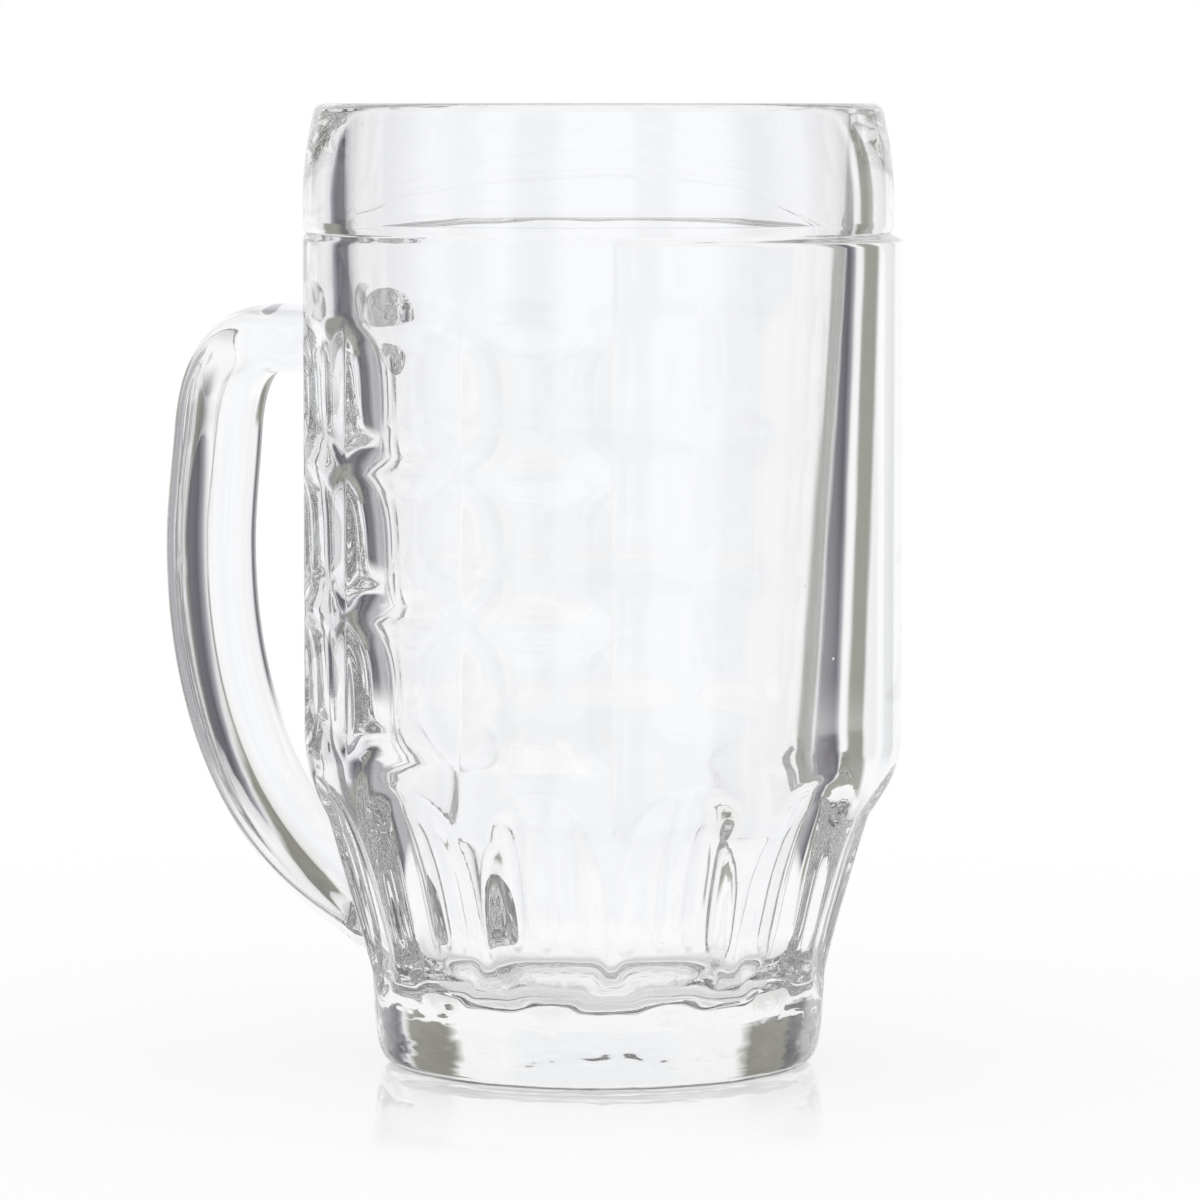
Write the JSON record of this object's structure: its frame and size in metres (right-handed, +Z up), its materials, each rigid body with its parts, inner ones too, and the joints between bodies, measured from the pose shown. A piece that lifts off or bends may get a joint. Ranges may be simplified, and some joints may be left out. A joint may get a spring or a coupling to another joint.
{
  "type": "beer mug",
  "caption": "Tall, thick-walled pressed-glass beer mug with rows of scooped dimples, a plain front panel, a fluted taper above a round foot, and a bowed glass handle.",
  "frame": {"origin": "on the surface that the mug stands on, under the middle of the outline of mug and handle", "axes": "+Z up along the mug's axis, the handle along -X, the plain panel towards +X"},
  "size_m": [0.1232, 0.092, 0.15],
  "materials": {
    "pressed_glass": "clear pressed soda-lime glass, fire-polished",
    "handle_glass": "clear pressed soda-lime glass, fire-polished"
  },
  "bodies": {
    "root": {"mug_body": "pressed_glass", "handle": "handle_glass"}
  },
  "joints": []
}
